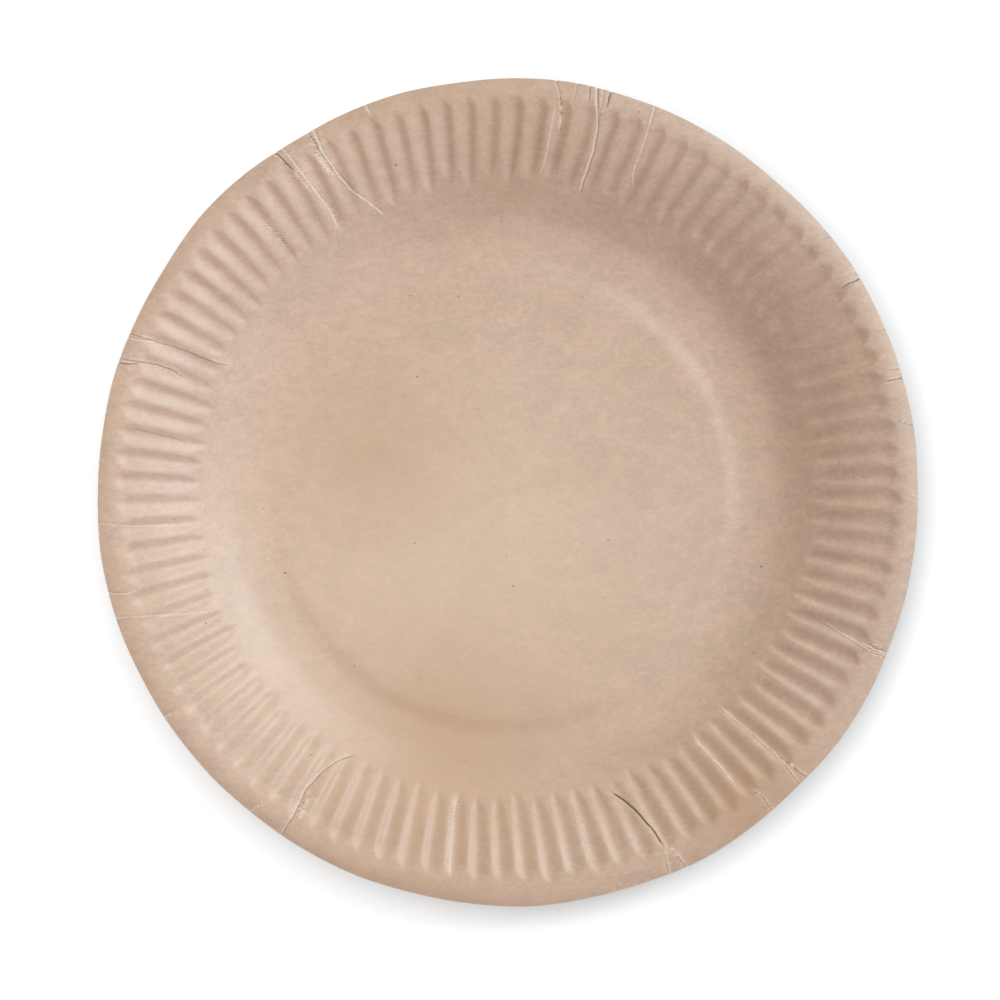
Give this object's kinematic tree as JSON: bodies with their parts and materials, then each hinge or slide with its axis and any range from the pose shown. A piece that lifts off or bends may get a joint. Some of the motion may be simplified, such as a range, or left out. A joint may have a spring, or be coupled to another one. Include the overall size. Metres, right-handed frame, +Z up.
{
  "type": "paper plate",
  "caption": "Shallow round paperboard plate with a raised centre, a fluted wall and a smooth rolled rim.",
  "frame": {"origin": "on the table under the middle of the plate, level with the foot ring", "axes": "+Z up through the middle of the plate, out of its eating side; X and Y in the table plane, any way round"},
  "size_m": [0.23, 0.23, 0.0152],
  "materials": {
    "kraft_board": "uncoated light brown kraft board, matte"
  },
  "bodies": {
    "root": {"plate": "kraft_board"}
  },
  "joints": []
}
